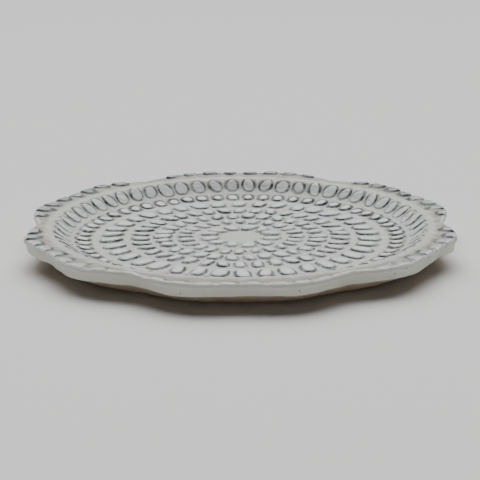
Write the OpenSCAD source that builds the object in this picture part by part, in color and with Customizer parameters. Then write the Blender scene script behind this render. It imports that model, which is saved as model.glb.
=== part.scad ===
// Scalloped dessert plate, pressed from one stoneware slab and dipped in white glaze.
// Millimetres. The plate stands on z = 0, its centre is on the Z axis and its front is -Y.

/* [Plate] */
// Diameter over the crests of the scalloped edge
plate_d = 200; // [185:1:240]
// Thickness of the slab at the well, coat included
slab_t = 6.3; // [5:0.1:9]
// Height of the lip above the well
rim_rise = 8.2; // [7:0.1:10]
// Angle of the slope between the well and the lip
slope_angle = 35; // [28:1:38]
// Width of the lip at a crest, out from the top of the slope
lip_w = 11.7; // [9:0.1:14]
// Radius of the cove between the well and the slope
cove_r = 4; // [2:0.5:5]
// Radius of the shoulder between the slope and the lip
shoulder_r = 5; // [2:0.5:6]
// How far the lip stands out past the edge of the base
overhang = 17.5; // [12:0.5:24]

/* [Scalloped edge] */
// Number of big lobes
lobes = 6; // [4:1:9]
// Depth of the notch between two lobes, measured from the crests
notch_depth = 5.6; // [4:0.1:6.5]
// Depth of the shallow dip at the middle of a lobe, measured from the crests
dip_depth = 2.4; // [1:0.1:3.5]

/* [Glaze] */
// Thickness of the white coat
coat_t = 0.8; // [0.75:0.05:1.2]
// Height above the table at which the coat stops on the outer wall
glaze_line = 7.6; // [6:0.1:9]

/* [Petal grooves] */
// Width of the groove round a petal
groove_w = 0.9; // [0.6:0.05:1.2]
// Depth of a groove below the glazed face
groove_depth = 0.6; // [0.5:0.05:0.7]
// Depth of the dark glaze that lies in a groove
pool_depth = 0.35; // [0.2:0.05:0.45]
// Plain web between the grooves of two neighbours in a row
web_w = 1.8; // [1.2:0.1:2.6]

/* [Gaps between rows] */
// Plain gap between two of the four inner rows
row_gap = 2.2; // [1:0.1:3]
// Smooth ring between row 4 and the long petals
smooth_ring_w = 3.3; // [2:0.1:5]
// Plain gap between the long petals and row 6
foot_gap = 4; // [2:0.1:5]
// Plain margin between row 6 and the cove
cove_gap = 0.3; // [0.1:0.1:1]

/* [Petals from the centre to the edge] */
// Length of a petal in row 1, round the plain centre, with its groove
row_1_length = 8.5; // [6:0.1:10]
// Spacing of the petals in row 1, at their tips
row_1_pitch = 10.7; // [8:0.1:14]
// Length of a petal in row 2
row_2_length = 7; // [6:0.1:9]
// Spacing of the petals in row 2, at their tips
row_2_pitch = 7.7; // [7:0.1:11]
// Length of a petal in row 3
row_3_length = 8.5; // [6:0.1:10]
// Spacing of the petals in row 3, at their tips
row_3_pitch = 8.4; // [7:0.1:11]
// Length of a petal in row 4
row_4_length = 8; // [6:0.1:10]
// Spacing of the petals in row 4, at their tips
row_4_pitch = 8.3; // [7:0.1:11]
// Length of a long petal in row 5
row_5_length = 11; // [9:0.1:13]
// Spacing of the long petals in row 5, at their tips
row_5_pitch = 10.7; // [8:0.1:12]
// Length of a petal in row 6, at the edge of the well
row_6_length = 6.4; // [5:0.1:8]
// Spacing of the petals in row 6, at their tips
row_6_pitch = 7.9; // [7:0.1:11]
// Length of an oval in row 7, half way up the slope
row_7_length = 9; // [7:0.1:10]
// Spacing of the ovals in row 7, at their tips
row_7_pitch = 9; // [7:0.1:12]
// Length of a mark in row 8, which runs out over the edge
row_8_length = 8; // [6:0.1:9]
// Spacing of the marks in row 8, at the crests
row_8_pitch = 10.5; // [8:0.1:13]

/* [Hidden] */
$fn = 180;

clay_colour = "#8c7560";
coat_colour = "#d9d6cf";
pool_colour = "#4a4b4c";

// Face of the plate: a flat well, a cove, a conical slope, a shoulder and a flat lip
crest_r = plate_d / 2;
well_z = slab_t;
lip_z = slab_t + rim_rise;
slope_run = rim_rise / tan(slope_angle);
slope_top_r = crest_r - lip_w;
slope_foot_r = slope_top_r - slope_run;
mid_slope_r = slope_foot_r + slope_run / 2;
mid_slope_z = well_z + rim_rise / 2;
half_turn = tan(slope_angle / 2);
flat_well_r = slope_foot_r - cove_r * half_turn;

// Scalloped outline: two waves round the edge, the second with twice as many crests
wave_1 = (notch_depth - dip_depth) / 2;
wave_mean = (notch_depth + dip_depth) / 2;
wave_2 = (wave_mean + sqrt(pow(wave_mean, 2) - pow(wave_1, 2))) / 4;
wave_r = crest_r - wave_2 - pow(wave_1, 2) / (8 * wave_2);
outline_step = 3;

// Bare underside: a cone from the edge of the base out to the crests at the glaze line
base_r = crest_r - overhang;
flare_per_mm = overhang / glaze_line;

// Rows of petals, from the centre to the edge
row_length = [
    row_1_length, row_2_length, row_3_length, row_4_length,
    row_5_length, row_6_length, row_7_length, row_8_length
];
row_pitch = [
    row_1_pitch, row_2_pitch, row_3_pitch, row_4_pitch,
    row_5_pitch, row_6_pitch, row_7_pitch, row_8_pitch
];
gap_outside = [row_gap, row_gap, row_gap, smooth_ring_w, foot_gap];
LONG_ROW = 4;
WELL_EDGE_ROW = 5;
SLOPE_ROW = 6;
EDGE_ROW = 7;

// Shape of a petal with flat sides: shares of its length from the middle, and of its width
shoulder_share = 0.14;
hip_share = 0.3;
tip_w_share = 0.42;
hip_w_share = 0.74;

// Room that the cutting shapes take beyond the plate
cut_margin = 5;
tool_rise = 2;

// Radius of the scalloped edge at an angle from the front
function edge_r(angle) = wave_r + wave_1 * cos(lobes * angle) - wave_2 * cos(2 * lobes * angle);

// Radius at the tips of a row: the edge row starts just past the crests, the slope row from the middle
// of the slope, the row at the edge of the well from the cove, and each other row from the one outside it
function tip_r(row) =
    row == EDGE_ROW ? crest_r + groove_w :
    row == SLOPE_ROW ? mid_slope_r + row_length[row] * cos(slope_angle) / 2 :
    row == WELL_EDGE_ROW ? flat_well_r - cove_gap :
    tip_r(row + 1) - row_length[row + 1] - gap_outside[row];

// Number of petals that go round in a row, and the angle of its first petal from the front
function row_count(row) = round(2 * PI * tip_r(row) / row_pitch[row]);
function row_turn(row) = row == LONG_ROW || row == 1 || row == 3 ? 0 : 180 / row_count(row);

// Radius at the middle of a row's petals, and the width that leaves a web between neighbours there
function mid_r(row) = row == SLOPE_ROW ? mid_slope_r : tip_r(row) - row_length[row] / 2;
function petal_w(row) = 2 * PI * mid_r(row) / row_count(row) - web_w;

// A mark at the edge needs room for half its length; the other rows always fit
function petal_fits(row, angle) =
    row != EDGE_ROW || edge_r(angle) - tip_r(row) + row_length[row] > row_length[row] / 2;

module outline(inset) {
    polygon([
        for (angle = [0 : outline_step : 360 - outline_step])
            let (r = edge_r(angle) - inset)
            [r * sin(angle), -r * cos(angle)]
    ]);
}

// Half section of everything below the face, with the face lowered by an inset square to it
module half_section(inset) {
    bottom = -2 * cut_margin;
    reach = crest_r + cut_margin;
    foot = [slope_foot_r + inset * half_turn, well_z - inset];
    top = [slope_top_r + inset * half_turn, lip_z - inset];
    cove = cove_r + inset;
    shoulder = shoulder_r - inset;
    along = [cos(slope_angle), sin(slope_angle)];
    difference() {
        union() {
            polygon([
                [0, bottom],
                [reach, bottom],
                [reach, top[1]],
                top,
                foot,
                [0, foot[1]]
            ]);
            difference() {
                polygon([
                    foot + cove * half_turn * along,
                    foot - [cove * half_turn, 0],
                    foot - [cove * half_turn, cove],
                    foot + cove * half_turn * along - [0, cove]
                ]);
                translate(foot + [-cove * half_turn, cove])
                    circle(cove);
            }
        }
        difference() {
            polygon([
                top - shoulder * half_turn * along,
                top + [shoulder * half_turn, 0],
                top + [shoulder * half_turn, shoulder],
                top - shoulder * half_turn * along + [0, shoulder]
            ]);
            translate(top + [shoulder * half_turn, -shoulder])
                circle(shoulder);
        }
    }
}

// The slab inside its outline, with the face and the wall set in by an inset
module slab(inset, low_z = 0) {
    intersection() {
        rotate_extrude()
            half_section(inset);
        translate([0, 0, low_z])
            linear_extrude(lip_z + cut_margin - low_z)
                outline(inset);
    }
}

// The part of the outer wall that the coat leaves bare
module bare_wall() {
    translate([0, 0, -cut_margin])
        linear_extrude(glaze_line + cut_margin)
            difference() {
                circle(crest_r + cut_margin);
                circle(slope_top_r);
            }
}

// The cone of the bare underside, from below the table to above the lip
module underside_cone() {
    tall = lip_z + 2 * cut_margin;
    low_r = base_r - cut_margin * flare_per_mm;
    translate([0, 0, -cut_margin])
        cylinder(h = tall, r1 = low_r, r2 = low_r + tall * flare_per_mm);
}

// Outline of a petal round its middle: a blunt tip towards +X, two shoulders, two hips and a pointed foot
module petal(length, width) {
    polygon([
        [length / 2, -tip_w_share * width / 2],
        [length / 2, tip_w_share * width / 2],
        [shoulder_share * length, width / 2],
        [-hip_share * length, hip_w_share * width / 2],
        [-length / 2, 0],
        [-hip_share * length, -hip_w_share * width / 2],
        [shoulder_share * length, -width / 2]
    ]);
}

// Grooves of a row, filled from their floors to a height
module row_of_grooves(row, height) {
    on_slope = row == SLOPE_ROW;
    seat_z = on_slope ? mid_slope_z : row == EDGE_ROW ? lip_z : well_z;
    length = row_length[row];
    width = petal_w(row);
    count = row_count(row);
    for (i = [0 : count - 1]) {
        angle = row_turn(row) + 360 * i / count;
        if (petal_fits(row, angle))
            rotate(angle - 90)
                translate([mid_r(row), 0, seat_z])
                    rotate([0, on_slope ? -slope_angle : 0, 0])
                        translate([0, 0, -groove_depth])
                            linear_extrude(height)
                                difference() {
                                    petal(length, width);
                                    petal(length - 2 * groove_w, width - 2 * groove_w);
                                }
    }
}

module stoneware_body() {
    color(clay_colour)
        intersection() {
            slab(coat_t);
            underside_cone();
        }
}

module white_glaze() {
    color(coat_colour)
        difference() {
            slab(0);
            slab(coat_t, -cut_margin);
            bare_wall();
            for (row = [0 : EDGE_ROW])
                row_of_grooves(row, groove_depth + tool_rise);
        }
}

module pooled_glaze(row) {
    color(pool_colour)
        intersection() {
            row_of_grooves(row, pool_depth);
            linear_extrude(lip_z)
                outline(0);
        }
}

stoneware_body();
white_glaze();
pooled_glaze(0);  // pooled_glaze_row_1
pooled_glaze(1);  // pooled_glaze_row_2
pooled_glaze(2);  // pooled_glaze_row_3
pooled_glaze(3);  // pooled_glaze_row_4
pooled_glaze(4);  // pooled_glaze_row_5
pooled_glaze(5);  // pooled_glaze_row_6
pooled_glaze(6);  // pooled_glaze_row_7
pooled_glaze(7);  // pooled_glaze_row_8
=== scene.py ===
"""Scalloped dessert plate: pressed stoneware under a white glaze that pooled dark round its petals.

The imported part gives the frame, in metres: the plate stands on z = 0, its centre is on the Z axis and
its front is at -Y. The sizes in this file are millimetres, and MM turns them to metres where a mesh or
a light is made. A turn is an angle round the plate in radians, counted from the front towards +X.
"""

import logging
import math
from dataclasses import dataclass, field
from enum import Enum
from functools import partial
from typing import Any

import bmesh
import bpy
import numpy as np
from mathutils import Matrix, Vector


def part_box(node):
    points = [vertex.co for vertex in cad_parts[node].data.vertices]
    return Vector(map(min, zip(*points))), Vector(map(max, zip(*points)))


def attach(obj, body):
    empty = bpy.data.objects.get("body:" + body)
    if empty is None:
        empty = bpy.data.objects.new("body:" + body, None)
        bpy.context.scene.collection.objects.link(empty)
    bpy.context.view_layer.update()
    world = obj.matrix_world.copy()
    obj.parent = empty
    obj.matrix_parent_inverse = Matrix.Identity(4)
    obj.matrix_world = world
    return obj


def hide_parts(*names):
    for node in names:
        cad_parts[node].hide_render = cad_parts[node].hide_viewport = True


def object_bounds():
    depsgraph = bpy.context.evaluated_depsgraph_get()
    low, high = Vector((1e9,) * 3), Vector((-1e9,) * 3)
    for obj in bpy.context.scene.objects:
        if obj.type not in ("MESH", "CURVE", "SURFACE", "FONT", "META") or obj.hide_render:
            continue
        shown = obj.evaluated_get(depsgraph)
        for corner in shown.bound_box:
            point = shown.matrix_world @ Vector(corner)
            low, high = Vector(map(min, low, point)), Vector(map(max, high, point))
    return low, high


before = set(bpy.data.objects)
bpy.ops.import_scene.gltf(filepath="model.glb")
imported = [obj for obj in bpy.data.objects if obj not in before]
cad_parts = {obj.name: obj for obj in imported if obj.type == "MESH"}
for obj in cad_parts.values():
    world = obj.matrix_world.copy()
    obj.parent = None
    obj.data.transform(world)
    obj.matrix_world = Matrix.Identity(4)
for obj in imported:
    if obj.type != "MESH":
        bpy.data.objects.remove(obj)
cad_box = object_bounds()

log = logging.getLogger("plate")

MM = 0.001
FULL_TURN = 2 * math.pi
Array = np.ndarray

# The plain lip lies this far under the top of the solids, which leaves room for its crimps
LIP_DROP = 0.9
# The well's face lies this far above the dark glaze in the solids' grooves
POOL_DROP = 0.25
# Points of the coat beyond this share of its radius belong to the wall
WALL_SHARE = 0.9
# Points of the clay below this height belong to its base
BASE_TOP = 0.1
# No hand wave of the edge rises past this
HIGHEST_WAVE = 2.2


class Slot(Enum):
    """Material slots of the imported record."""

    GLAZE = "white_glaze"
    CLAY = "bare_stoneware"


class Mark(Enum):
    """Point attributes that carry the glaze's looks from the mesh to its material."""

    # Dark glaze pooled in the grooves, and painted shade on the crimps at the back of the rim
    POOL = "pool"
    FILL = "fill"
    WARM = "warm"
    # Share of the wall, which is painted lighter as painted light
    WALL = "wall"


Marks = dict[Mark, Array]


def linear_colour(hex_code: str) -> tuple[float, float, float, float]:
    """Turns an sRGB hex value to a linear colour.

    Args:
        hex_code: Six hex digits after a hash.

    Returns:
        Red, green, blue and an alpha of one.
    """
    parts = [int(hex_code[i : i + 2], 16) / 255 for i in (1, 3, 5)]
    linear = [p / 12.92 if p <= 0.04045 else ((p + 0.055) / 1.055) ** 2.4 for p in parts]
    return (*linear, 1.0)


def per_size(size: float) -> float:
    """Gives the texture scale, per metre, of a pattern whose features are a size in millimetres."""
    return 1 / (size * MM)


def add_node(tree: bpy.types.NodeTree, kind: str, feeds: dict[Any, Any], **settings: Any) -> bpy.types.Node:
    """Adds a node with its settings, and fills its inputs with values or from other nodes.

    Args:
        tree: Shader or geometry tree that takes the node.
        kind: Blender's type name of the node.
        feeds: What each input takes, by the input's name or place: a value, an output socket, or a node
            whose first output it takes.
        settings: Properties of the node.

    Returns:
        The node.
    """
    node = tree.nodes.new(kind)
    for name, value in settings.items():
        setattr(node, name, value)
    for key, value in feeds.items():
        source = value.outputs[0] if isinstance(value, bpy.types.Node) else value
        if isinstance(source, bpy.types.NodeSocket):
            tree.links.new(source, node.inputs[key])
        else:
            node.inputs[key].default_value = source
    return node


def smooth_step(low: float, high: float, value: Array) -> Array:
    """Rises smoothly from 0 at low to 1 at high.

    Args:
        low: Value where the step starts.
        high: Value where the step ends.
        value: Values to step.

    Returns:
        Shares from 0 to 1.
    """
    share = np.clip((value - low) / (high - low), 0, 1)
    return share * share * (3 - 2 * share)


def hand_wave(turn: Array, seed: int, waves: range) -> Array:
    """Gives an uneven wave that closes on itself round the plate, as a hand leaves on an edge.

    Args:
        turn: Angles round the plate.
        seed: Seed of the phases.
        waves: Numbers of waves round the plate that are added up.

    Returns:
        Heights, most of them from -1 to 1.
    """
    phases = np.random.default_rng(seed).uniform(0, FULL_TURN, len(waves))
    total = sum(np.sin(n * turn + phase) for n, phase in zip(waves, phases))
    return total / math.sqrt(2 * len(waves))


def circle(radius: Array, height: Array, turn: Array) -> Array:
    """Gives the points at radii and heights round the plate.

    Args:
        radius: Distances from the Z axis.
        height: Heights over the table.
        turn: Angles round the plate.

    Returns:
        One row of x, y and z for each turn.
    """
    radius, height, turn = np.broadcast_arrays(radius, height, turn)
    return np.stack([radius * np.sin(turn), -radius * np.cos(turn), height], axis=-1)


@dataclass(frozen=True)
class ScallopedEdge:
    """Outline of the plate: big lobes with a nipped notch between two and a shallow dip in each."""

    crest_r: float
    lobes: int = 6
    notch_depth: float = 5.6
    dip_depth: float = 2.4
    nip: float = 1.2
    nip_angle: float = math.radians(2.6)

    def drop(self, turn: Array) -> Array:
        """Gives how far the outline lies inside its crests.

        Args:
            turn: Angles round the plate.

        Returns:
            Distances, zero at the crests and negative elsewhere.
        """
        wave_1 = (self.notch_depth - self.dip_depth) / 2
        mean = (self.notch_depth + self.dip_depth) / 2
        wave_2 = (mean + math.sqrt(mean**2 - wave_1**2)) / 4
        top = wave_2 + wave_1**2 / (8 * wave_2)
        smooth = wave_1 * np.cos(self.lobes * turn) - wave_2 * np.cos(2 * self.lobes * turn) - top
        return smooth - self.nip * np.exp(-((self.from_notch(turn) / self.nip_angle) ** 2))

    def from_notch(self, turn: Array) -> Array:
        """Gives the angle to the nearest notch, in radians."""
        pitch = FULL_TURN / self.lobes
        return np.abs(np.mod(turn, pitch) - pitch / 2)


@dataclass
class DishSection:
    """Half section of the glazed face: a well, a cove, a straight slope, a shoulder and a rising lip.

    The well is flat but for a shallow sag near its edge. A place on the section is its length along the
    surface from the centre of the well.
    """

    crest_r: float
    well_z: float
    lip_z: float
    slope_angle: float = math.radians(36)
    lip_angle: float = math.radians(3.5)
    lip_w: float = 14.3
    cove_r: float = 18.0
    shoulder_r: float = 4.5
    sag: float = 0.35
    sag_r: float = 65.0
    sag_w: float = 9.0
    step: float = 0.05
    reach_share: float = 1.1
    lengths: Array = field(init=False)
    radii: Array = field(init=False)
    heights: Array = field(init=False)
    tilts: Array = field(init=False)

    def __post_init__(self) -> None:
        """Follows the section from the centre outwards in small steps."""
        rise = self.lip_z - self.well_z
        steep, flat = math.tan(self.slope_angle), math.tan(self.lip_angle)
        foot_r = self.crest_r - self.lip_w - rise / steep
        corner_r = (rise - self.crest_r * flat + foot_r * steep) / (steep - flat)
        bend = self.slope_angle - self.lip_angle
        cove_cut = self.cove_r * math.tan(self.slope_angle / 2)
        shoulder_cut = self.shoulder_r * math.tan(bend / 2)
        cove_start = foot_r - cove_cut
        cove_end = cove_start + self.cove_r * self.slope_angle
        straight = (corner_r - foot_r) / math.cos(self.slope_angle) - cove_cut - shoulder_cut
        shoulder_start = cove_end + straight
        shoulder_end = shoulder_start + self.shoulder_r * bend
        self.lengths = np.arange(0, self.crest_r * self.reach_share, self.step)
        self.tilts = np.interp(
            self.lengths,
            [cove_start, cove_end, shoulder_start, shoulder_end],
            [0, self.slope_angle, self.slope_angle, self.lip_angle],
        )
        self.radii = np.append(0, np.cumsum(np.cos(self.tilts) * self.step)[:-1])
        self.heights = self.well_z + np.append(0, np.cumsum(np.sin(self.tilts) * self.step)[:-1])
        self.heights -= self.sag * np.exp(-(((self.radii - self.sag_r) / self.sag_w) ** 2))

    def place(self, length: Array) -> tuple[Array, Array, Array]:
        """Gives the radius, the height and the tilt of the face at lengths along it."""
        return tuple(np.interp(length, self.lengths, row) for row in (self.radii, self.heights, self.tilts))

    def length_at(self, radius: float) -> float:
        """Gives the length along the face at a radius."""
        return float(np.interp(radius, self.radii, self.lengths))


@dataclass(frozen=True)
class EdgeProfile:
    """Cross-section through the edge of a petal, by distance from the middle of its groove.

    Distances are negative inside the petal. The levels are heights over the plain web, the pools are
    shares of dark glaze, and the fill is how blue the thick glaze on the petal is.
    """

    crown: float
    distances: tuple[float, ...]
    levels: tuple[float, ...]
    pools: tuple[float, ...]
    fill: float

    def core_level(self, share: float) -> float:
        """Gives the height inside the groove, by the share of the way from the petal's middle."""
        return self.crown + (self.levels[0] - self.crown) * share**2


class PetalForm(Enum):
    """How the press left a petal: a pillow, a low pillow in a wide groove, or a flat oval."""

    PILLOW = EdgeProfile(
        crown=1.1,
        distances=(-0.9, -0.5, 0.0, 0.3, 0.6),
        levels=(0.75, 0.35, -0.45, -0.25, 0.04),
        pools=(0.12, 0.7, 1.0, 0.85, 0.1),
        fill=0.15,
    )
    LOW = EdgeProfile(
        crown=0.95,
        distances=(-1.0, -0.65, -0.25, 0.4, 0.8),
        levels=(0.75, 0.45, -0.35, -0.45, 0.1),
        pools=(0.12, 0.75, 1.0, 1.0, 0.3),
        fill=0.1,
    )
    FLAT = EdgeProfile(
        crown=0.42,
        distances=(-0.85, -0.55, -0.15, 0.35, 0.7),
        levels=(0.45, 0.34, -0.4, -0.5, 0.05),
        pools=(0.02, 0.75, 1.0, 0.9, 0.1),
        fill=0.04,
    )


@dataclass(frozen=True)
class PetalRow:
    """One ring of petals, each with a groove all round it.

    Egg is how much wider the outer end is, the squarenesses are powers of the outline's two ends, ink is
    the darkness of the grooves, inner_pool and inner_rise are the darkness and the relief at the inner end,
    and loose is how far the petals stray from even places and shapes.
    """

    name: str
    count: int
    inner_r: float
    outer_r: float
    width: float
    form: PetalForm
    phase: float
    egg: float = 0.1
    squareness: float = 2.3
    inner_squareness: float = 2.6
    inner_pool: float = 1.0
    inner_rise: float = 1.0
    ink: float = 1.0
    loose: float = 1.0


PETAL_ROWS = (
    PetalRow(
        "petals_round_the_centre", 12, 10.0, 18.9, 6.2, PetalForm.PILLOW,
        phase=0.5, egg=0.26, ink=0.7, loose=2.2,
    ),
    PetalRow(
        "petals_second_row", 24, 22.0, 29.2, 4.8, PetalForm.PILLOW,
        phase=0.0, inner_pool=1.3, ink=0.75, loose=2.0,
    ),
    PetalRow(
        "petals_third_row", 30, 31.6, 39.6, 5.8, PetalForm.PILLOW,
        phase=0.5, inner_pool=1.35, ink=0.85, loose=2.0,
    ),
    PetalRow(
        "petals_fourth_row", 38, 41.7, 50.3, 5.2, PetalForm.PILLOW,
        phase=0.0, inner_pool=1.3, loose=1.8,
    ),
    PetalRow(
        "long_petals", 38, 53.9, 64.2, 7.1, PetalForm.PILLOW,
        phase=0.08, egg=0.14, inner_squareness=3.2, inner_pool=1.4, loose=1.3,
    ),
    PetalRow(
        "petals_at_the_cove", 60, 68.5, 75.1, 5.8, PetalForm.LOW,
        phase=0.5, squareness=2.0, inner_squareness=2.1, loose=1.3,
    ),
    PetalRow(
        "ovals_on_the_slope", 60, 77.6, 85.1, 6.6, PetalForm.FLAT,
        phase=0.5, egg=-0.06, squareness=1.9, inner_squareness=2.3,
        inner_pool=0.4, inner_rise=0.45, loose=1.5,
    ),
)


@dataclass
class Shell:
    """Points, faces and marks of one closed piece while it is put together, in millimetres."""

    name: str
    points: list[Array] = field(default_factory=list)
    marks: dict[Mark, list[Array]] = field(default_factory=lambda: {mark: [] for mark in Mark})
    faces: list[tuple[int, ...]] = field(default_factory=list)
    total: int = 0

    def add(self, points: Array, marks: Marks | None = None) -> Array:
        """Adds points with their marks.

        Args:
            points: Places, one row each.
            marks: Values of each mark at the points; a mark that is left out is zero.

        Returns:
            Numbers of the new points.
        """
        count = len(points)
        self.points.append(points)
        for mark in Mark:
            self.marks[mark].append(np.broadcast_to((marks or {}).get(mark, 0.0), count))
        numbers = np.arange(self.total, self.total + count)
        self.total += count
        return numbers

    def strip(self, first: Array, second: Array) -> None:
        """Joins two closed loops of equal counts with quads."""
        after_1, after_2 = np.roll(first, -1), np.roll(second, -1)
        self.faces += [tuple(map(int, quad)) for quad in zip(first, second, after_2, after_1)]

    def fan(self, loop: Array, tip: int) -> None:
        """Closes a loop with triangles that meet at one point."""
        self.faces += [(int(a), int(b), int(tip)) for a, b in zip(loop, np.roll(loop, -1))]

    def zip_loops(self, inner: Array, outer: Array) -> None:
        """Joins two closed loops of different counts with triangles, in order of their turns.

        Args:
            inner: Numbers of the points of one loop.
            outer: Numbers of the points of the other loop.
        """
        inner, turn_in = self.by_turn(inner)
        outer, turn_out = self.by_turn(outer)
        i = j = 0
        while i < len(inner) or j < len(outer):
            here = (int(inner[i % len(inner)]), int(outer[j % len(outer)]))
            if j == len(outer) or (i < len(inner) and turn_in[i + 1] <= turn_out[j + 1]):
                i += 1
                self.faces.append((*here, int(inner[i % len(inner)])))
            else:
                j += 1
                self.faces.append((*here, int(outer[j % len(outer)])))

    def by_turn(self, loop: Array) -> tuple[Array, Array]:
        """Sorts a loop by turn.

        Args:
            loop: Numbers of the loop's points.

        Returns:
            The sorted numbers, and their turns with the first one repeated a full turn later.
        """
        places = np.concatenate(self.points)[loop]
        turns = np.mod(np.arctan2(places[:, 0], -places[:, 1]), FULL_TURN)
        order = np.argsort(turns)
        return loop[order], np.append(turns[order], turns[order][0] + FULL_TURN)

    def follow(self, loop: Array, points: Array, marks: Marks | None = None) -> Array:
        """Adds a loop and joins it to the loop before, which has as many points.

        Args:
            loop: Numbers of the loop before.
            points: Places of the next loop.
            marks: Marks at those places.

        Returns:
            Numbers of the next loop.
        """
        following = self.add(points, marks)
        self.strip(loop, following)
        return following

    def finish(self, material: bpy.types.Material) -> bpy.types.Object:
        """Makes the mesh object, with its faces turned outwards and shaded smooth.

        Args:
            material: Finish of the piece.

        Returns:
            The object, at the origin.
        """
        mesh = bpy.data.meshes.new(self.name)
        mesh.from_pydata(np.concatenate(self.points) * MM, [], self.faces)
        for mark, values in self.marks.items():
            layer = mesh.attributes.new(mark.value, "FLOAT", "POINT")
            layer.data.foreach_set("value", np.concatenate(values).astype(np.float32))
        work = bmesh.new()
        work.from_mesh(mesh)
        bmesh.ops.recalc_face_normals(work, faces=work.faces)
        work.to_mesh(mesh)
        open_edges = sum(not edge.is_manifold for edge in work.edges)
        work.free()
        mesh.shade_smooth()
        mesh.materials.append(material)
        piece = bpy.data.objects.new(self.name, mesh)
        bpy.context.scene.collection.objects.link(piece)
        counts = (self.total, len(self.faces), open_edges)
        log.info("%s: %d points, %d faces, %d open edges", self.name, *counts)
        return piece


@dataclass
class PetalPress:
    """Geometry Nodes tree that sets one petal in its cell and repeats it round a ring.

    A tile's x counts cells, its y is the length along the face and its z the relief, in millimetres. The
    ring comes out flat, with that length as its radius.
    """

    thin: float
    segments: int = 24
    web: float = 0.3
    least_web: float = 0.1
    give: float = 2.0
    inner_end: float = 0.2
    core_shares: tuple[float, float] = (0.42, 0.76)
    play: tuple[float, float, float] = (0.045, 0.35, 0.15)
    stretch: tuple[float, float, float] = (0.13, 0.1, 0.2)
    stretch_seed: float = 100.0
    merge_gap: float = 0.001

    def outline(self, row: PetalRow, half_length: float) -> tuple[Array, Array, Array]:
        """Draws the middle line of the groove round a petal.

        Args:
            row: Row that the petal belongs to.
            half_length: Half the petal's length along the face.

        Returns:
            Places from the petal's middle, the directions out of the petal there, and how far along the
            petal they are, from -1 at its inner end to 1 at its outer end.
        """
        # It starts towards a corner of the cell, as the cell's border does
        around = math.pi / 4 + FULL_TURN * np.arange(self.segments) / self.segments
        bend = np.where(np.sin(around) < 0, 2 / row.inner_squareness, 2 / row.squareness)
        across = np.sign(np.cos(around)) * np.abs(np.cos(around)) ** bend
        along = np.sign(np.sin(around)) * np.abs(np.sin(around)) ** bend
        places = np.stack([across * (1 + row.egg * along) * row.width / 2, along * half_length], axis=-1)
        tangent = np.roll(places, -1, axis=0) - np.roll(places, 1, axis=0)
        outward = np.stack([tangent[:, 1], -tangent[:, 0]], axis=-1)
        outward /= np.linalg.norm(outward, axis=1, keepdims=True)
        return places, outward, along

    def tile(self, row: PetalRow, section: DishSection) -> bpy.types.Mesh:
        """Makes the mesh of one petal, its groove and its share of the web.

        Args:
            row: Row that the petal belongs to.
            section: Section of the face that it lies on.

        Returns:
            The tile's mesh, with its marks and with how much each point may be pushed about.
        """
        start, end = section.length_at(row.inner_r), section.length_at(row.outer_r)
        middle = (start + end) / 2
        places, outward, along = self.outline(row, (end - start) / 2)
        outer = smooth_step(-1, self.inner_end, along)
        ink = row.ink * (row.inner_pool + (1 - row.inner_pool) * outer)
        rise = row.inner_rise + (1 - row.inner_rise) * outer

        profile = row.form.value
        core = places + profile.distances[0] * outward
        loops = [share * core for share in self.core_shares]
        loops += [places + distance * outward for distance in profile.distances]
        # Relief, pool, fill and warmth of each loop from the core out to the cell's border
        values = [
            (profile.core_level(share) * (1 + (rise - 1) * share), 0.0, profile.fill * share, 0.0)
            for share in self.core_shares
        ]
        values += [
            (level * rise, dark * ink, profile.fill * (distance <= 0), self.thin * (distance > 0))
            for distance, level, dark in zip(profile.distances, profile.levels, profile.pools)
        ]
        values.append((0.0, 0.0, 0.0, self.thin))
        relief, pool, fill, warm = (
            np.concatenate([[at_middle], *(np.broadcast_to(value, self.segments) for value in column)])
            for at_middle, column in zip((profile.crown, 0.0, 0.0, 0.0), zip(*values))
        )

        low, high = self.limits(row, section)
        cells = [self.to_cell(loop, middle, row, section) for loop in loops]
        flat = np.concatenate([[[0.0, middle]], *cells, self.border(low, high)])
        pitch = FULL_TURN * section.place(flat[:, 1])[0] / row.count
        gap = np.minimum((0.5 - np.abs(flat[:, 0])) * pitch, np.minimum(flat[:, 1] - low, high - flat[:, 1]))
        play = np.clip(gap / self.give, 0, 1)
        mesh = bpy.data.meshes.new(row.name)
        mesh.from_pydata(np.column_stack([flat, relief]), [], self.tile_faces(len(values)))
        looks = {Mark.POOL.value: pool, Mark.FILL.value: fill, Mark.WARM.value: warm, "play": play}
        for name, value in looks.items():
            layer = mesh.attributes.new(name, "FLOAT", "POINT")
            layer.data.foreach_set("value", value.astype(np.float32))
        local = np.column_stack([flat[:, 0], flat[:, 1] - middle, (flat[:, 1] - middle) / pitch])
        layer = mesh.attributes.new("local", "FLOAT_VECTOR", "POINT")
        layer.data.foreach_set("vector", local.astype(np.float32).ravel())
        return mesh

    def limits(self, row: PetalRow, section: DishSection) -> tuple[float, float]:
        """Gives the lengths along the face where a row's ring starts and ends."""
        reach = row.form.value.distances[-1] + self.web
        return section.length_at(row.inner_r) - reach, section.length_at(row.outer_r) + reach

    def to_cell(self, loop: Array, middle: float, row: PetalRow, section: DishSection) -> Array:
        """Turns a loop to cells across and length along the face, and keeps it inside its cell.

        Args:
            loop: Places in millimetres from the petal's middle.
            middle: Length along the face at the petal's middle.
            row: Row that the petal belongs to.
            section: Section of the face.

        Returns:
            The loop's places in the cell.
        """
        low, high = self.limits(row, section)
        length = np.clip(middle + loop[:, 1], low + self.least_web, high - self.least_web)
        pitch = FULL_TURN * section.place(length)[0] / row.count
        most = 0.5 - self.least_web / pitch
        return np.stack([np.clip(loop[:, 0] / pitch, -most, most), length], axis=-1)

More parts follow.
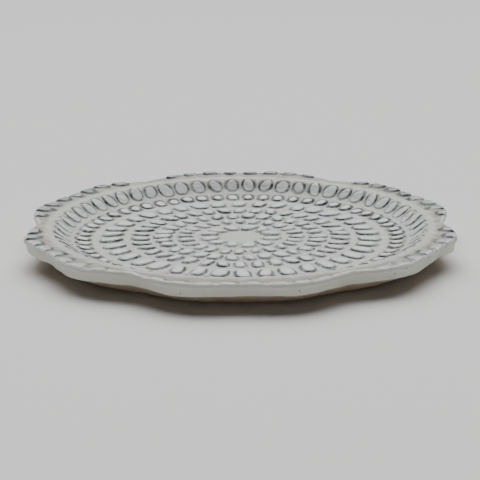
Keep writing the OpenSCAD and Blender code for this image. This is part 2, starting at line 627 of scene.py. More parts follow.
    def border(self, start: float, end: float) -> Array:
        """Gives the points round a cell, from the outer corner on the +x side.

        Args:
            start: Length along the face at the inner side.
            end: Length along the face at the outer side.

        Returns:
            As many points on each of the four sides.
        """
        share = np.arange(self.segments // 4) / (self.segments // 4)
        corners = np.array([[0.5, end], [-0.5, end], [-0.5, start], [0.5, start], [0.5, end]])
        return np.concatenate([a + share[:, None] * (b - a) for a, b in zip(corners, corners[1:])])

    def tile_faces(self, loops: int) -> list[tuple[int, ...]]:
        """Gives the faces of a tile: a fan round its middle, then quads from loop to loop.

        Args:
            loops: Number of loops round the middle.

        Returns:
            Numbers of each face's points.
        """
        count = self.segments
        after = [(k + 1) % count for k in range(count)]
        starts = [1 + n * count for n in range(loops)]
        fan = [(0, 1 + after[k], 1 + k) for k in range(count)]
        quads = [
            (inner + k, inner + after[k], outer + after[k], outer + k)
            for inner, outer in zip(starts, starts[1:])
            for k in range(count)
        ]
        return fan + quads

    def tree(self) -> bpy.types.NodeTree:
        """Builds the tree that repeats a tile round a ring, each petal a little out of place.

        Returns:
            The tree, with its sizes as named inputs.
        """
        tree = bpy.data.node_groups.new("petal row", "GeometryNodeTree")
        tree.interface.new_socket("Ring", in_out="OUTPUT", socket_type="NodeSocketGeometry")
        for name, kind in (
            ("Tile", "Geometry"), ("Count", "Int"), ("Phase", "Float"), ("Seed", "Int"),
            ("Play", "Vector"), ("Stretch", "Vector"), ("Merge gap", "Float"), ("Glaze", "Material"),
        ):
            tree.interface.new_socket(name, in_out="INPUT", socket_type=f"NodeSocket{kind}")
        add = partial(add_node, tree)
        given = add("NodeGroupInput", {}).outputs
        cells = add("GeometryNodeMeshLine", {"Count": given["Count"], "Offset": (1, 0, 0)}, mode="OFFSET")
        ring = add("GeometryNodeInstanceOnPoints", {"Points": cells, "Instance": given["Tile"]})
        for name, further in (("throw", 0.0), ("stretch", self.stretch_seed)):
            seed = add("ShaderNodeMath", {0: given["Seed"], 1: further}, operation="ADD")
            ends = {0: (-1, -1, -1), 1: (1, 1, 1)}
            chance = add("FunctionNodeRandomValue", {**ends, "Seed": seed}, data_type="FLOAT_VECTOR")
            ring = add(
                "GeometryNodeStoreNamedAttribute", {"Geometry": ring, "Name": name, "Value": chance},
                data_type="FLOAT_VECTOR", domain="INSTANCE",
            )
        ring = add("GeometryNodeRealizeInstances", {"Geometry": ring})
        throw, stretch, local = (
            add("GeometryNodeInputNamedAttribute", {"Name": name}, data_type="FLOAT_VECTOR")
            for name in ("throw", "stretch", "local")
        )
        play = add("GeometryNodeInputNamedAttribute", {"Name": "play"}, data_type="FLOAT")

        # Where each point goes: the petal's throw and its change of shape, less near the cell's border
        reach = add("ShaderNodeVectorMath", {0: throw, 1: given["Play"]}, operation="MULTIPLY")
        most = add("ShaderNodeVectorMath", {0: stretch, 1: given["Stretch"]}, operation="MULTIPLY")
        grown = add("ShaderNodeVectorMath", {0: most, 1: local}, operation="MULTIPLY")
        grow = add("ShaderNodeSeparateXYZ", {0: grown}).outputs
        lean = add("ShaderNodeMath", {0: grow["X"], 1: grow["Z"]}, operation="ADD")
        change = add("ShaderNodeCombineXYZ", {"X": lean, "Y": grow["Y"]})
        both = add("ShaderNodeVectorMath", {0: reach, 1: change}, operation="ADD")
        push = add("ShaderNodeVectorMath", {0: both, "Scale": play}, operation="SCALE")
        here = add("GeometryNodeInputPosition", {})
        moved = add("ShaderNodeVectorMath", {0: here, 1: push}, operation="ADD")

        # The row of cells is bent to a ring
        part = add("ShaderNodeSeparateXYZ", {0: moved}).outputs
        cell = add("ShaderNodeMath", {0: part["X"], 1: given["Phase"]}, operation="ADD")
        share = add("ShaderNodeMath", {0: cell, 1: given["Count"]}, operation="DIVIDE")
        turn = add("ShaderNodeMath", {0: share, 1: FULL_TURN}, operation="MULTIPLY")
        waves = [add("ShaderNodeMath", {0: turn}, operation=name) for name in ("SINE", "COSINE")]
        side, back = (add("ShaderNodeMath", {0: part["Y"], 1: wave}, operation="MULTIPLY") for wave in waves)
        front = add("ShaderNodeMath", {0: back, 1: -1.0}, operation="MULTIPLY")
        place = add("ShaderNodeCombineXYZ", {"X": side, "Y": front, "Z": part["Z"]})
        ring = add("GeometryNodeSetPosition", {"Geometry": ring, "Position": place})
        ring = add("GeometryNodeMergeByDistance", {"Geometry": ring, "Distance": given["Merge gap"]})
        ring = add("GeometryNodeSetMaterial", {"Geometry": ring, "Material": given["Glaze"]})
        add("NodeGroupOutput", {"Ring": ring})
        return tree

    def press(
        self,
        tree: bpy.types.NodeTree,
        row: PetalRow,
        section: DishSection,
        seed: int,
        glaze: bpy.types.Material,
    ) -> bpy.types.Mesh:
        """Repeats a row's tile round its ring.

        Args:
            tree: The tree of this press.
            row: Row to make.
            section: Section of the face that the row lies on.
            seed: Seed of the petals' places.
            glaze: Material of the ring.

        Returns:
            The flat ring as a plain mesh.
        """
        carrier = bpy.data.objects.new(row.name, self.tile(row, section))
        bpy.context.scene.collection.objects.link(carrier)
        modifier = carrier.modifiers.new("petal row", "NODES")
        modifier.node_group = tree
        values = {
            "Count": row.count,
            "Phase": row.phase,
            "Seed": seed,
            "Play": tuple(row.loose * value for value in self.play),
            "Stretch": tuple(row.loose * value for value in self.stretch),
            "Merge gap": self.merge_gap,
            "Glaze": glaze,
        }
        for socket in tree.interface.items_tree:
            if socket.name in values:
                modifier[socket.identifier] = values[socket.name]
        evaluated = carrier.evaluated_get(bpy.context.evaluated_depsgraph_get())
        ring = bpy.data.meshes.new_from_object(evaluated)
        carrier.modifiers.remove(modifier)
        bpy.data.objects.remove(carrier)
        return ring


@dataclass
class GlazeCoat:
    """White glaze over the face and the outer wall, with the petals that were pressed under it."""

    section: DishSection
    edge: ScallopedEdge
    rows: tuple[PetalRow, ...]
    glaze_line: float
    coat_t: float = 0.8
    thin: float = 0.45
    seed: int = 7
    # Plain centre of the well
    centre_loops: tuple[float, ...] = (1.3, 2.6, 3.9, 5.2, 6.5, 7.8)
    centre_columns: int = 36
    # How far petals differ in tint and darkness, and how near a ring's limits its end loops are found
    fill_change: float = 0.35
    pool_change: float = 0.22
    ring_end: float = 0.01
    # Unevenness of the hand-pressed plate
    swell: float = 0.16
    edge_wave: float = 0.16
    edge_dip: float = 0.32
    line_wave: float = 0.45
    # Lip and rounded edge
    pull_from: float = 88.5
    lip_start: float = 1.6
    lip_steps: int = 16
    lip_lump: float = 0.3
    lip_span: tuple[float, float] = (87.5, 91.5)
    edge_r: float = 1.7
    edge_steps: int = 6
    edge_fade: float = 0.6
    # Wall, its bead at the top and its rolled edge at the glaze line
    wall_steps: int = 9
    wall_lean: float = 0.7
    wall_recess: float = 0.5
    recess_change: float = 0.5
    bead: tuple[float, float] = (0.02, 0.28)
    wall_fade: float = 0.25
    wall_lump: float = 0.36
    line_roll: tuple[tuple[float, float], ...] = ((0.35, -0.12), (0.8, 0.1), (1.3, 0.8))
    hidden_gap: float = 4.0
    hidden_columns: int = 96
    # Crimps at the edge: their size, section, darkness, painted shade and chance
    mark_count: int = 60
    mark_reach: float = 7.4
    back_reach: float = 3.0
    mark_half_w: float = 4.1
    mark_squareness: float = 2.6
    mark_columns: tuple[float, ...] = (0.0, 0.9, 1.8, 2.6, 3.2, 3.7, 4.1, 4.5)
    blank_angle: float = math.radians(6)
    crimp_at: tuple[float, ...] = (-0.9, -0.4, 0.0, 0.45, 0.9, 1.5)
    crimp_levels: tuple[float, ...] = (0.0, -0.15, -0.5, -0.05, 0.3, 0.42)
    pillow_w: float = 0.9
    knuckle: float = 0.15
    front_crimp: float = 0.12
    crimp_span: tuple[float, float] = (-0.95, -0.2)
    brink_w: float = 1.2
    dent: float = 0.2
    groove_at: tuple[float, ...] = (-0.8, -0.4, 0.0, 0.6, 0.95, 1.5)
    groove_pools: tuple[float, ...] = (0.0, 0.8, 1.0, 1.0, 0.6, 0.0)
    mark_line: float = 2.2
    # How dark the painted shade on the crimps' tops is at the back, and where round the plate it rises
    mark_painted_shade: float = 0.62
    painted_shade_span: tuple[float, float] = (-0.4, 1.0)
    mark_fill: float = 0.9
    mark_cool: float = 0.9
    mark_taper: tuple[float, float] = (0.65, 1.2)
    mark_end_steps: int = 3
    reach_chance: tuple[float, float] = (0.7, 1.15)
    dark_chance: tuple[float, float] = (0.45, 1.3)

    def build(self, material: bpy.types.Material) -> bpy.types.Object:
        """Builds the coat as one closed piece.

        Args:
            material: Finish of the glaze.

        Returns:
            The finished object.
        """
        shell = Shell("glaze_coat")
        press = PetalPress(self.thin)
        tree = press.tree()
        outer = self.centre(shell)
        for number, row in enumerate(self.rows):
            ring = press.press(tree, row, self.section, self.seed + number, material)
            inner, next_outer = self.lay_ring(shell, ring, press.limits(row, self.section))
            shell.zip_loops(outer, inner)
            outer = next_outer
            log.info("row %d, %s: %d petals", number + 1, row.name, row.count)
        turn = self.columns()
        loop, relief, marks = self.lip(shell, outer, turn)
        loop = self.edge_and_wall(shell, loop, turn, relief, marks)
        self.underside(shell, loop, turn)
        return shell.finish(material)

    def lift(self, length: Array, turn: Array, relief: Array) -> Array:
        """Lays places of the flat face onto the dish, out to the scalloped edge and a little uneven.

        Args:
            length: Lengths along the face from the centre.
            turn: Angles round the plate.
            relief: Heights square to the face.

        Returns:
            Points in millimetres.
        """
        radius, height, tilt = self.section.place(length)
        pull = np.clip((radius - self.pull_from) / (self.edge.crest_r - self.edge_r - self.pull_from), 0, 1)
        radius = radius - relief * np.sin(tilt) + pull * (self.edge.drop(turn) + self.hand_edge(turn))
        uneven = self.swell * hand_wave(turn, self.seed, range(1, 5)) * radius / self.edge.crest_r
        dips = np.clip(hand_wave(turn, self.seed + 1, range(9, 46, 4)), 0, None)
        uneven = uneven - self.edge_dip * pull * dips
        return circle(radius, height + relief * np.cos(tilt) + uneven, turn)

    def hand_edge(self, turn: Array) -> Array:
        """Gives how far the hand-cut edge strays inside its outline."""
        return self.edge_wave * (hand_wave(turn, self.seed + 2, range(7, 40, 5)) - HIGHEST_WAVE)

    def recess(self, turn: Array) -> Array:
        """Gives how far the wall lies back under the uneven bead at its top."""
        return self.wall_recess * (1 + self.recess_change * hand_wave(turn, self.seed + 4, range(5, 60, 6)))

    def foot_r(self, turn: Array) -> Array:
        """Gives the radius at the foot of the wall."""
        edge_r = self.edge.crest_r + self.edge.drop(turn) + self.hand_edge(turn)
        return edge_r - self.recess(turn) - self.wall_lean

    def line(self, turn: Array) -> Array:
        """Gives the height of the uneven line where the dipped coat stops."""
        return self.glaze_line + self.line_wave * hand_wave(turn, self.seed + 3, range(3, 26, 3))

    def centre(self, shell: Shell) -> Array:
        """Adds the plain middle of the well.

        Args:
            shell: Shell that takes the points.

        Returns:
            The outer loop of the middle.
        """
        count = self.centre_columns
        turn = FULL_TURN * np.arange(count) / count
        marks = {Mark.WARM: np.array(self.thin)}
        tip = shell.add(self.lift(np.zeros(1), np.zeros(1), np.zeros(1)), marks)
        rings = [self.lift(np.full(count, radius), turn, np.zeros(count)) for radius in self.centre_loops]
        loop = shell.add(rings[0], marks)
        shell.fan(loop, tip[0])
        for ring in rings[1:]:
            loop = shell.follow(loop, ring, marks)
        return loop

    def lay_ring(
        self, shell: Shell, ring: bpy.types.Mesh, limits: tuple[float, float]
    ) -> tuple[Array, Array]:
        """Adds a flat ring of petals to the shell, lifted onto the dish.

        Args:
            shell: Shell that takes the ring.
            ring: Flat ring from the press.
            limits: Lengths along the face where the ring starts and ends.

        Returns:
            The ring's inner and outer loops.
        """
        count = len(ring.vertices)
        flat, throw = np.empty((count, 3)), np.empty((count, 3))
        ring.vertices.foreach_get("co", flat.ravel())
        ring.attributes["throw"].data.foreach_get("vector", throw.ravel())
        marks = {mark: np.empty(count) for mark in (Mark.POOL, Mark.FILL, Mark.WARM)}
        for mark, values in marks.items():
            ring.attributes[mark.value].data.foreach_get("value", values)
        marks[Mark.FILL] *= 1 + self.fill_change * throw[:, 0]
        marks[Mark.POOL] *= 1 + self.pool_change * throw[:, 1]
        length = np.hypot(flat[:, 0], flat[:, 1])
        turn = np.arctan2(flat[:, 0], -flat[:, 1])
        numbers = shell.add(self.lift(length, turn, flat[:, 2]), marks)
        shell.faces += [tuple(int(numbers[v]) for v in face.vertices) for face in ring.polygons]
        bpy.data.meshes.remove(ring)
        inner, outer = (numbers[np.abs(length - limit) < self.ring_end] for limit in limits)
        return inner, outer

    def columns(self) -> Array:
        """Gives the turns of the rim's columns, close together where a mark's groove runs.

        Returns:
            Turns in order round the plate.
        """
        pitch = FULL_TURN / self.mark_count
        one_side = np.array(self.mark_columns) / self.edge.crest_r
        cell = np.concatenate([-one_side[:0:-1], one_side, [pitch / 2]])
        return np.concatenate([(number + 0.5) * pitch + cell for number in range(self.mark_count)])

    def mark_across(self, turn: Array) -> tuple[Array, Array]:
        """Finds the nearest mark at the edge.

        Args:
            turn: Angles round the plate.

        Returns:
            The distance across from the mark's middle, large where a notch leaves it out, and its number.
        """
        pitch = FULL_TURN / self.mark_count
        cell = np.floor(turn / pitch)
        across = (turn - (cell + 0.5) * pitch) * self.edge.crest_r
        blank = self.edge.from_notch((cell + 0.5) * pitch) < self.blank_angle
        return np.where(blank, 2 * self.mark_half_w, across), cell.astype(int) % self.mark_count

    def edge_mark(self, turn: Array, radius: float) -> tuple[Array, Marks]:
        """Gives the crimps at the edge: round pillows cut off by it, each with a dark groove behind.

        They are flatter and fainter towards the front, where the lip was held, and their tops carry painted
        shade that darkens towards the back.

        Args:
            turn: Angles round the plate.
            radius: Radius before the edge is scalloped.

        Returns:
            The relief and the marks of the glaze.
        """
        low, high = zip(self.reach_chance, self.dark_chance)
        reach_share, dark_share = np.random.default_rng(self.seed).uniform(low, high, (self.mark_count, 2)).T
        across, number = self.mark_across(turn)
        power = self.mark_squareness
        reach = self.back_reach + (self.mark_reach - self.back_reach) * np.abs(np.sin(turn))
        reach = reach * reach_share[number]
        inwards = max(0, self.edge.crest_r - self.edge_r - radius)
        bulge = ((np.abs(across) / self.mark_half_w) ** power + (inwards / reach) ** power) ** (1 / power)
        inside = (1 - bulge) * np.minimum(self.mark_half_w, reach)
        pillow = smooth_step(0, self.pillow_w, inside)
        brink = 1 - smooth_step(0, self.brink_w, np.array(inwards))
        lip = smooth_step(*self.lip_span, np.full(len(turn), radius))
        crimp = self.front_crimp + (1 - self.front_crimp) * smooth_step(*self.crimp_span, -np.cos(turn))
        raised = np.interp(inside, self.crimp_at, self.crimp_levels)
        raised = raised + self.knuckle * pillow * np.clip(1 - inwards / reach, 0, 1)
        dents = self.dent * np.clip(hand_wave(turn, self.seed + 6, range(31, 120, 9)), 0, 1)
        lumps = self.lip_lump * hand_wave(turn, self.seed + 7, range(23, 90, 8)) * lip
        relief = lumps * (1 - pillow) * (1 - brink) + crimp * raised - brink * dents
        taper = np.interp(across, (-self.mark_half_w, self.mark_half_w), self.mark_taper)
        taper = taper * dark_share[number]
        groove = np.interp(inside, self.groove_at, self.groove_pools)
        groove = self.mark_line * groove * (self.front_crimp + (1 - self.front_crimp) * crimp)
        # Painted shade: the crimps' pillow tops are painted charcoal, darkest at the back of the plate and
        # none at the front
        painted_shade = self.mark_painted_shade * pillow * smooth_step(*self.painted_shade_span, -np.cos(turn))
        marks = {
            Mark.POOL: taper * np.maximum(groove, painted_shade),
            Mark.FILL: self.mark_fill * pillow,
            Mark.WARM: (self.thin + (1 - self.thin) * lip) * (1 - self.mark_cool * pillow),
        }
        return relief, marks

    def lip(self, shell: Shell, outer: Array, turn: Array) -> tuple[Array, Array, Marks]:
        """Adds the lip with its crimps.

        Args:
            shell: Shell that takes the points.
            outer: Outer loop of the last row of petals.
            turn: Turns of the rim's columns.

        Returns:
            The lip's last loop, with its relief and its marks.
        """
        start = self.section.length_at(self.rows[-1].outer_r) + self.lip_start
        end = self.section.length_at(self.edge.crest_r - self.edge_r)
        loop = None
        for length in np.linspace(start, end, self.lip_steps):
            relief, marks = self.edge_mark(turn, float(self.section.place(length)[0]))
            points = self.lift(np.full(len(turn), length), turn, relief)
            if loop is None:
                loop = shell.add(points, marks)
                shell.zip_loops(outer, loop)
            else:
                loop = shell.follow(loop, points, marks)
        return loop, relief, marks

    def edge_and_wall(
        self, shell: Shell, loop: Array, turn: Array, relief: Array, marks: Marks
    ) -> Array:
        """Adds the rounded edge and the wall, down to the glaze line.

        Args:
            shell: Shell that takes the points.
            loop: Last loop of the lip.
            turn: Turns of the rim's columns.
            relief: Relief at that loop, which fades over the edge.
            marks: Marks at that loop.

        Returns:
            The last loop of the wall.
        """
        end = self.section.length_at(self.edge.crest_r - self.edge_r)
        base = self.lift(np.full(len(turn), end), turn, np.zeros(len(turn)))
        base_r, base_z = np.hypot(base[:, 0], base[:, 1]), base[:, 2] - self.edge_r
        for step in range(1, self.edge_steps + 1):
            share = step / self.edge_steps
            angle = math.pi / 2 * (1 - share)
            reach = self.edge_r + relief * (1 - self.edge_fade * share)
            points = circle(base_r + reach * math.cos(angle), base_z + reach * math.sin(angle), turn)
            # The rounded edge turns to the wall's lighter tint, which is painted light
            outer_marks = {
                Mark.POOL: marks[Mark.POOL] * max(0, 1 - step / self.mark_end_steps),
                Mark.WALL: np.array(share),
            }
            loop = shell.follow(loop, points, outer_marks)
        line = self.line(turn)
        high_lumps = self.wall_lump * hand_wave(turn, self.seed + 8, range(11, 70, 7))
        low_lumps = self.wall_lump * hand_wave(turn, self.seed + 9, range(9, 60, 7))
        for step in range(1, self.wall_steps + 1):
            down = step / self.wall_steps
            recess = self.recess(turn) * smooth_step(*self.bead, np.array(down)) + self.wall_lean * down
            lumps = (high_lumps + (low_lumps - high_lumps) * down) * math.sin(math.pi * down)
            fade = (1 - self.edge_fade) * max(0, 1 - down / self.wall_fade)
            radius = base_r + self.edge_r + relief * fade - recess + lumps
            points = circle(radius, base_z + (line - base_z) * down, turn)
            # The whole wall takes the lighter tint that is painted light
            loop = shell.follow(loop, points, {Mark.WALL: np.array(1.0)})
        return loop

    def underside(self, shell: Shell, loop: Array, turn: Array) -> None:
        """Rolls the coat in at the glaze line and closes it over the clay, where it is hidden.

        Args:
            shell: Shell that takes the points.
            loop: Last loop of the wall.
            turn: Turns of the rim's columns.
        """
        foot_r, line = self.foot_r(turn), self.line(turn)
        for inwards, upwards in self.line_roll:
            loop = shell.follow(loop, circle(foot_r - inwards, line + upwards, turn))
        hidden = FULL_TURN * np.arange(self.hidden_columns) / self.hidden_columns
        hidden_r = self.section.length_at(self.rows[-1].inner_r) - self.hidden_gap
        hidden_z = self.section.well_z - self.coat_t
        under = shell.add(circle(hidden_r, hidden_z, hidden))
        shell.zip_loops(loop, under)
        tip = shell.add(np.array([[0, 0, hidden_z]]))
        shell.fan(under, tip[0])


@dataclass
class BareBody:
    """Bare stoneware below the glaze line: a flat base with a rounded edge, and a flare out to the wall."""

    coat: GlazeCoat
    base_r: float
    columns: int = 480
    base_follow: float = 0.35
    base_wave: float = 0.5
    gap: float = 0.6
    gap_w: float = 7.0
    base_roll: tuple[tuple[float, float], ...] = ((0.3, 0.12), (0.6, 0.38), (0.85, 0.75))
    flare_steps: int = 9
    flare_wave: float = 0.22
    tuck: float = 0.55
    tuck_up: float = 0.25
    top_roll: tuple[tuple[float, float], ...] = ((0.2, 0.5), (1.5, 0.2))
    hidden_in: float = 8.0
    hidden_gap: float = 0.3

    def build(self, material: bpy.types.Material) -> bpy.types.Object:
        """Builds the bare body as one closed piece.

        Args:
            material: Finish of the clay.

        Returns:
            The finished object.
        """
        shell = Shell("bare_body")
        coat = self.coat
        turn = FULL_TURN * np.arange(self.columns) / self.columns
        lobed = coat.edge.drop(turn)
        lobed = lobed - lobed.mean()
        edge_r = self.base_r + self.base_follow * lobed
        edge_r = edge_r + self.base_wave * hand_wave(turn, coat.seed + 5, range(5, 50, 7))
        wall_r = coat.foot_r(turn) - self.tuck
        line = coat.line(turn) + self.tuck_up

        tip = shell.add(np.zeros((1, 3)))
        loop = shell.add(circle(edge_r - self.gap_w, 0.0, turn))
        shell.fan(loop, tip[0])
        for share, rise in self.base_roll:
            loop = shell.follow(loop, circle(edge_r - self.gap_w * (1 - share), self.gap * rise, turn))
        for step in range(1, self.flare_steps + 1):
            share = step / self.flare_steps
            rough = self.flare_wave * hand_wave(turn, coat.seed + 10 + step, range(11, 90, 9))
            height = self.gap + (line - self.gap) * share - rough * math.sin(math.pi * share)
            loop = shell.follow(loop, circle(edge_r + (wall_r - edge_r) * share, height, turn))
        for inwards, upwards in self.top_roll:
            loop = shell.follow(loop, circle(wall_r - inwards, line + upwards, turn))
        top_z = coat.section.well_z - coat.coat_t - self.hidden_gap
        loop = shell.follow(loop, circle(self.base_r - self.hidden_in, top_z, turn))
        tip = shell.add(np.array([[0, 0, top_z]]))
        shell.fan(loop, tip[0])
        return shell.finish(material)


@dataclass(frozen=True)
class SatinWhiteGlaze:
    """Satin white stoneware glaze, dipped and fired.

    To the eye it is an off-white skin with a soft gloss, bluish where it lies thick on the petals, warmer
    where it is thin on the lip, charcoal where it pooled in the grooves, with a few iron specks. The wall is
    painted lighter than the face as painted light, and the charcoal also paints shade on the rim's crimps
    at the back.
    """

    white: str = "#cfd0ce"
    cool: str = "#cacecf"
    petal: str = "#a3acae"
    warm: str = "#94917f"
    # Lighter tint of the wall: painted light that stands in for light on the outer wall
    painted_wall_light: str = "#dedfd2"
    pool_and_shade_charcoal: str = "#3a3f42"
    speck: str = "#4a3f36"
    roughness: tuple[float, float] = (0.28, 0.41)
    gloss: float = 0.2
    cloud_size: float = 22.0
    break_size: float = 2.6
    break_span: tuple[float, float] = (0.3, 0.7)
    break_change: tuple[float, float] = (0.45, 1.35)
    speck_spacing: float = 5.2
    speck_r: float = 0.45
    speck_core_r: float = 0.27
    speck_most: float = 0.8
    ripple_size: float = 3.4
    ripple_height: float = 0.7

    def material(self) -> bpy.types.Material:
        """Builds the material.

        Returns:
            The material.
        """
        made = bpy.data.materials.new("satin white glaze on stoneware")
        made.use_nodes = True
        tree = made.node_tree
        add = partial(add_node, tree)
        shader = tree.nodes["Principled BSDF"]
        place = add("ShaderNodeTexCoord", {}).outputs["Object"]
        pool, fill, warm, wall = (
            add("ShaderNodeAttribute", {}, attribute_name=mark.value).outputs["Fac"] for mark in Mark
        )
        cloud, breaks, ripple = (
            add("ShaderNodeTexNoise", {"Vector": place, "Scale": per_size(size), "Detail": fine})
            for size, fine in ((self.cloud_size, 3.0), (self.break_size, 2.0), (self.ripple_size, 2.0))
        )
        grains = add("ShaderNodeTexVoronoi", {"Vector": place, "Scale": per_size(self.speck_spacing)})
        speck_span = (self.speck_r / self.speck_spacing, self.speck_core_r / self.speck_spacing)
        patchy, specks, gloss = (
            add(
                "ShaderNodeMapRange",
                {"Value": value, "From Min": low, "From Max": high, "To Min": least, "To Max": most},
            )
            for value, (low, high), (least, most) in (
                (breaks, self.break_span, self.break_change),
                (grains, speck_span, (0.0, self.speck_most)),
                (cloud, (0.0, 1.0), self.roughness),
            )
        )
        dark = add("ShaderNodeMath", {0: pool, 1: patchy}, operation="MULTIPLY", use_clamp=True)
        colour = linear_colour(self.white)
        # The wall tint paints the wall lighter as painted light; the charcoal paints pooled glaze and, on
        # the rim's crimps, painted shade
        for share, tint in (
            (cloud, self.cool), (fill, self.petal), (warm, self.warm),
            (wall, self.painted_wall_light), (dark, self.pool_and_shade_charcoal), (specks, self.speck),
        ):
            colour = add("ShaderNodeMixRGB", {"Fac": share, "Color1": colour, "Color2": linear_colour(tint)})
        bump = add(
            "ShaderNodeBump", {"Height": ripple, "Distance": self.ripple_height * MM, "Strength": 1.0}
        )
        for name, source in (("Base Color", colour), ("Roughness", gloss), ("Normal", bump)):
            tree.links.new(source.outputs[0], shader.inputs[name])
        shader.inputs["Specular IOR Level"].default_value = self.gloss
        return made


@dataclass(frozen=True)
class BareStoneware:
    """Fired stoneware without glaze, sponged smooth.

    To the eye it is a dry, dull brown-grey with dark and pale grog, and it blushes orange in places. Real
    grog is finer than half a millimetre and is drawn coarser here, so that it shows.
    """

    dark: str = "#b7a690"
    brown: str = "#d8c8b0"
    blush: str = "#cca57f"
    grog: str = "#6b5d4f"
    pale: str = "#dacdba"
    roughness: float = 0.88
    cloud_size: float = 14.0
    blush_span: tuple[float, float] = (0.48, 0.7)
    blush_most: float = 0.7
    grain_size: float = 1.3
    grain_height: float = 0.12
    grog_spacing: float = 2.2
    grog_span: tuple[float, float] = (0.22, 0.12)
    grog_most: float = 0.7

    def material(self) -> bpy.types.Material:
        """Builds the material.

        Returns:
            The material.
        """
        made = bpy.data.materials.new("bare fired stoneware")
        made.use_nodes = True
        tree = made.node_tree
        add = partial(add_node, tree)
        shader = tree.nodes["Principled BSDF"]
        place = add("ShaderNodeTexCoord", {}).outputs["Object"]
        cloud, grain = (
            add("ShaderNodeTexNoise", {"Vector": place, "Scale": per_size(size), "Detail": fine})
            for size, fine in ((self.cloud_size, 4.0), (self.grain_size, 3.0))
        )
        stones = add("ShaderNodeTexVoronoi", {"Vector": place, "Scale": per_size(self.grog_spacing)})
        blushes, stone_mask = (
            add(
                "ShaderNodeMapRange",
                {"Value": value, "From Min": low, "From Max": high, "To Min": 0.0, "To Max": most},
            )
            for value, (low, high), most in (
                (cloud, self.blush_span, self.blush_most),
                (stones, self.grog_span, self.grog_most),
            )
        )
        dark, brown, blush, grog, pale = (
            linear_colour(tint) for tint in (self.dark, self.brown, self.blush, self.grog, self.pale)
        )
        stone = add("ShaderNodeMixRGB", {"Fac": stones.outputs["Color"], "Color1": grog, "Color2": pale})
        colour = dark
        for share, tint in ((grain, brown), (blushes, blush), (stone_mask, stone)):
            colour = add("ShaderNodeMixRGB", {"Fac": share, "Color1": colour, "Color2": tint})
        bump = add("ShaderNodeBump", {"Height": grain, "Distance": self.grain_height * MM, "Strength": 1.0})
        for name, source in (("Base Color", colour), ("Normal", bump)):
            tree.links.new(source.outputs[0], shader.inputs[name])
        shader.inputs["Roughness"].default_value = self.roughness
        return made


@dataclass(frozen=True)
class PaleTable:
    """Plain matt table top that fills the view behind the plate."""

    colour: str = "#d6d6d5"
    roughness: float = 0.85
    half_size: float = 6000.0
    drop: float = 0.02

    def build(self) -> None:
        """Builds the table top."""
        made = bpy.data.materials.new("matt painted board")
        made.use_nodes = True
        shader = made.node_tree.nodes["Principled BSDF"]
        shader.inputs["Base Color"].default_value = linear_colour(self.colour)
        shader.inputs["Roughness"].default_value = self.roughness
        size, height = self.half_size * MM, -self.drop * MM
        corners = [(x * size, y * size, height) for x, y in ((-1, -1), (1, -1), (1, 1), (-1, 1))]
        mesh = bpy.data.meshes.new("table_top")
        mesh.from_pydata(corners, [], [(0, 1, 2, 3)])
        mesh.materials.append(made)
        top = bpy.data.objects.new("table_top", mesh)
        bpy.context.scene.collection.objects.link(top)


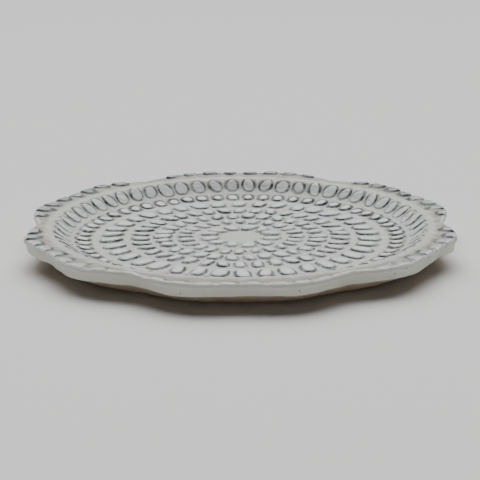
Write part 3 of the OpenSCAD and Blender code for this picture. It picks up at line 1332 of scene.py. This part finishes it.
@dataclass(frozen=True)
class Studio:
    """Camera at the photograph's angle, one large soft light from above and behind, and a faint fill."""

    lens: float = 137.7
    sensor: float = 36.0
    clip_start: float = 10.0
    distance: float = 842.0
    elevation: float = math.radians(15.53)
    roll: float = math.radians(-0.27)
    aim_x: float = -0.23
    aim_z: float = 4.75
    sky_colour: str = "#f4f6f8"
    sky_strength: float = 0.005
    key_power: float = 74.0
    key_size: float = 3600.0
    key_place: tuple[float, float, float] = (0.0, 1000.0, 2000.0)
    key_aim: tuple[float, float, float] = (0.0, -450.0, 0.0)
    key_spread: float = math.radians(98)
    fill_power: float = 2.6
    fill_size: float = 500.0
    fill_place: tuple[float, float, float] = (0.0, -1800.0, 390.0)
    fill_aim: tuple[float, float, float] = (0.0, 0.0, 0.0)

    def build(self) -> None:
        """Sets up the camera, the sky and the two lights."""
        scene = bpy.context.scene
        aim = Vector((self.aim_x, 0, self.aim_z)) * MM
        back = Vector((0, -math.cos(self.elevation), math.sin(self.elevation)))
        camera = bpy.data.objects.new("camera", bpy.data.cameras.new("camera"))
        camera.data.lens = self.lens
        camera.data.sensor_width = self.sensor
        camera.data.clip_start = self.clip_start * MM
        turn = (-back).to_track_quat("-Z", "Y").to_matrix().to_4x4() @ Matrix.Rotation(self.roll, 4, "Z")
        camera.matrix_world = Matrix.Translation(aim + back * self.distance * MM) @ turn
        scene.collection.objects.link(camera)
        scene.camera = camera
        sky = bpy.data.worlds.new("soft room")
        sky.use_nodes = True
        background = sky.node_tree.nodes["Background"]
        background.inputs["Color"].default_value = linear_colour(self.sky_colour)
        background.inputs["Strength"].default_value = self.sky_strength
        scene.world = sky
        key = self.lamp("key", self.key_place, self.key_aim, self.key_size, self.key_power)
        key.spread = self.key_spread
        self.lamp("fill", self.fill_place, self.fill_aim, self.fill_size, self.fill_power)

    def lamp(
        self, name: str, place: tuple[float, ...], aim: tuple[float, ...], size: float, power: float
    ) -> bpy.types.AreaLight:
        """Adds a square soft light.

        Args:
            name: Name of the light.
            place: Its place in millimetres.
            aim: Place in millimetres that it faces.
            size: Its side in millimetres.
            power: Its power in watts.

        Returns:
            The light's data.
        """
        light = bpy.data.lights.new(name, "AREA")
        light.size = size * MM
        light.energy = power
        lamp = bpy.data.objects.new(name, light)
        lamp.location = Vector(place) * MM
        lamp.rotation_euler = (Vector(aim) - Vector(place)).to_track_quat("-Z", "Y").to_euler()
        bpy.context.scene.collection.objects.link(lamp)
        return light


def main() -> None:
    """Builds the stage, the glaze and the clay in order, and ties each piece to the frame."""
    logging.basicConfig(level=logging.INFO, format="%(name)s: %(message)s")
    Studio().build()
    PaleTable().build()

    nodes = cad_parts
    glaze_points = [vertex.co for vertex in nodes["white_glaze"].data.vertices]
    clay_points = [vertex.co for vertex in nodes["stoneware_body"].data.vertices]
    crest_r = max(point.xy.length for point in glaze_points) / MM
    lip_z = cad_box[1].z / MM - LIP_DROP
    well_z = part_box("pooled_glaze_row_1")[1].z / MM + POOL_DROP
    wall_from = WALL_SHARE * crest_r * MM
    glaze_line = min(point.z for point in glaze_points if point.xy.length > wall_from) / MM
    base_r = max(point.xy.length for point in clay_points if point.z < BASE_TOP * MM) / MM

    coat = GlazeCoat(DishSection(crest_r, well_z, lip_z), ScallopedEdge(crest_r), PETAL_ROWS, glaze_line)
    glaze = coat.build(SatinWhiteGlaze().material())
    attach(glaze, "root")
    pools = [name for name in nodes if name.startswith("pooled_glaze")]
    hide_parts("white_glaze", *sorted(pools))

    clay = BareBody(coat, base_r).build(BareStoneware().material())
    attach(clay, "root")
    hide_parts("stoneware_body")


if __name__ == "__main__":
    main()
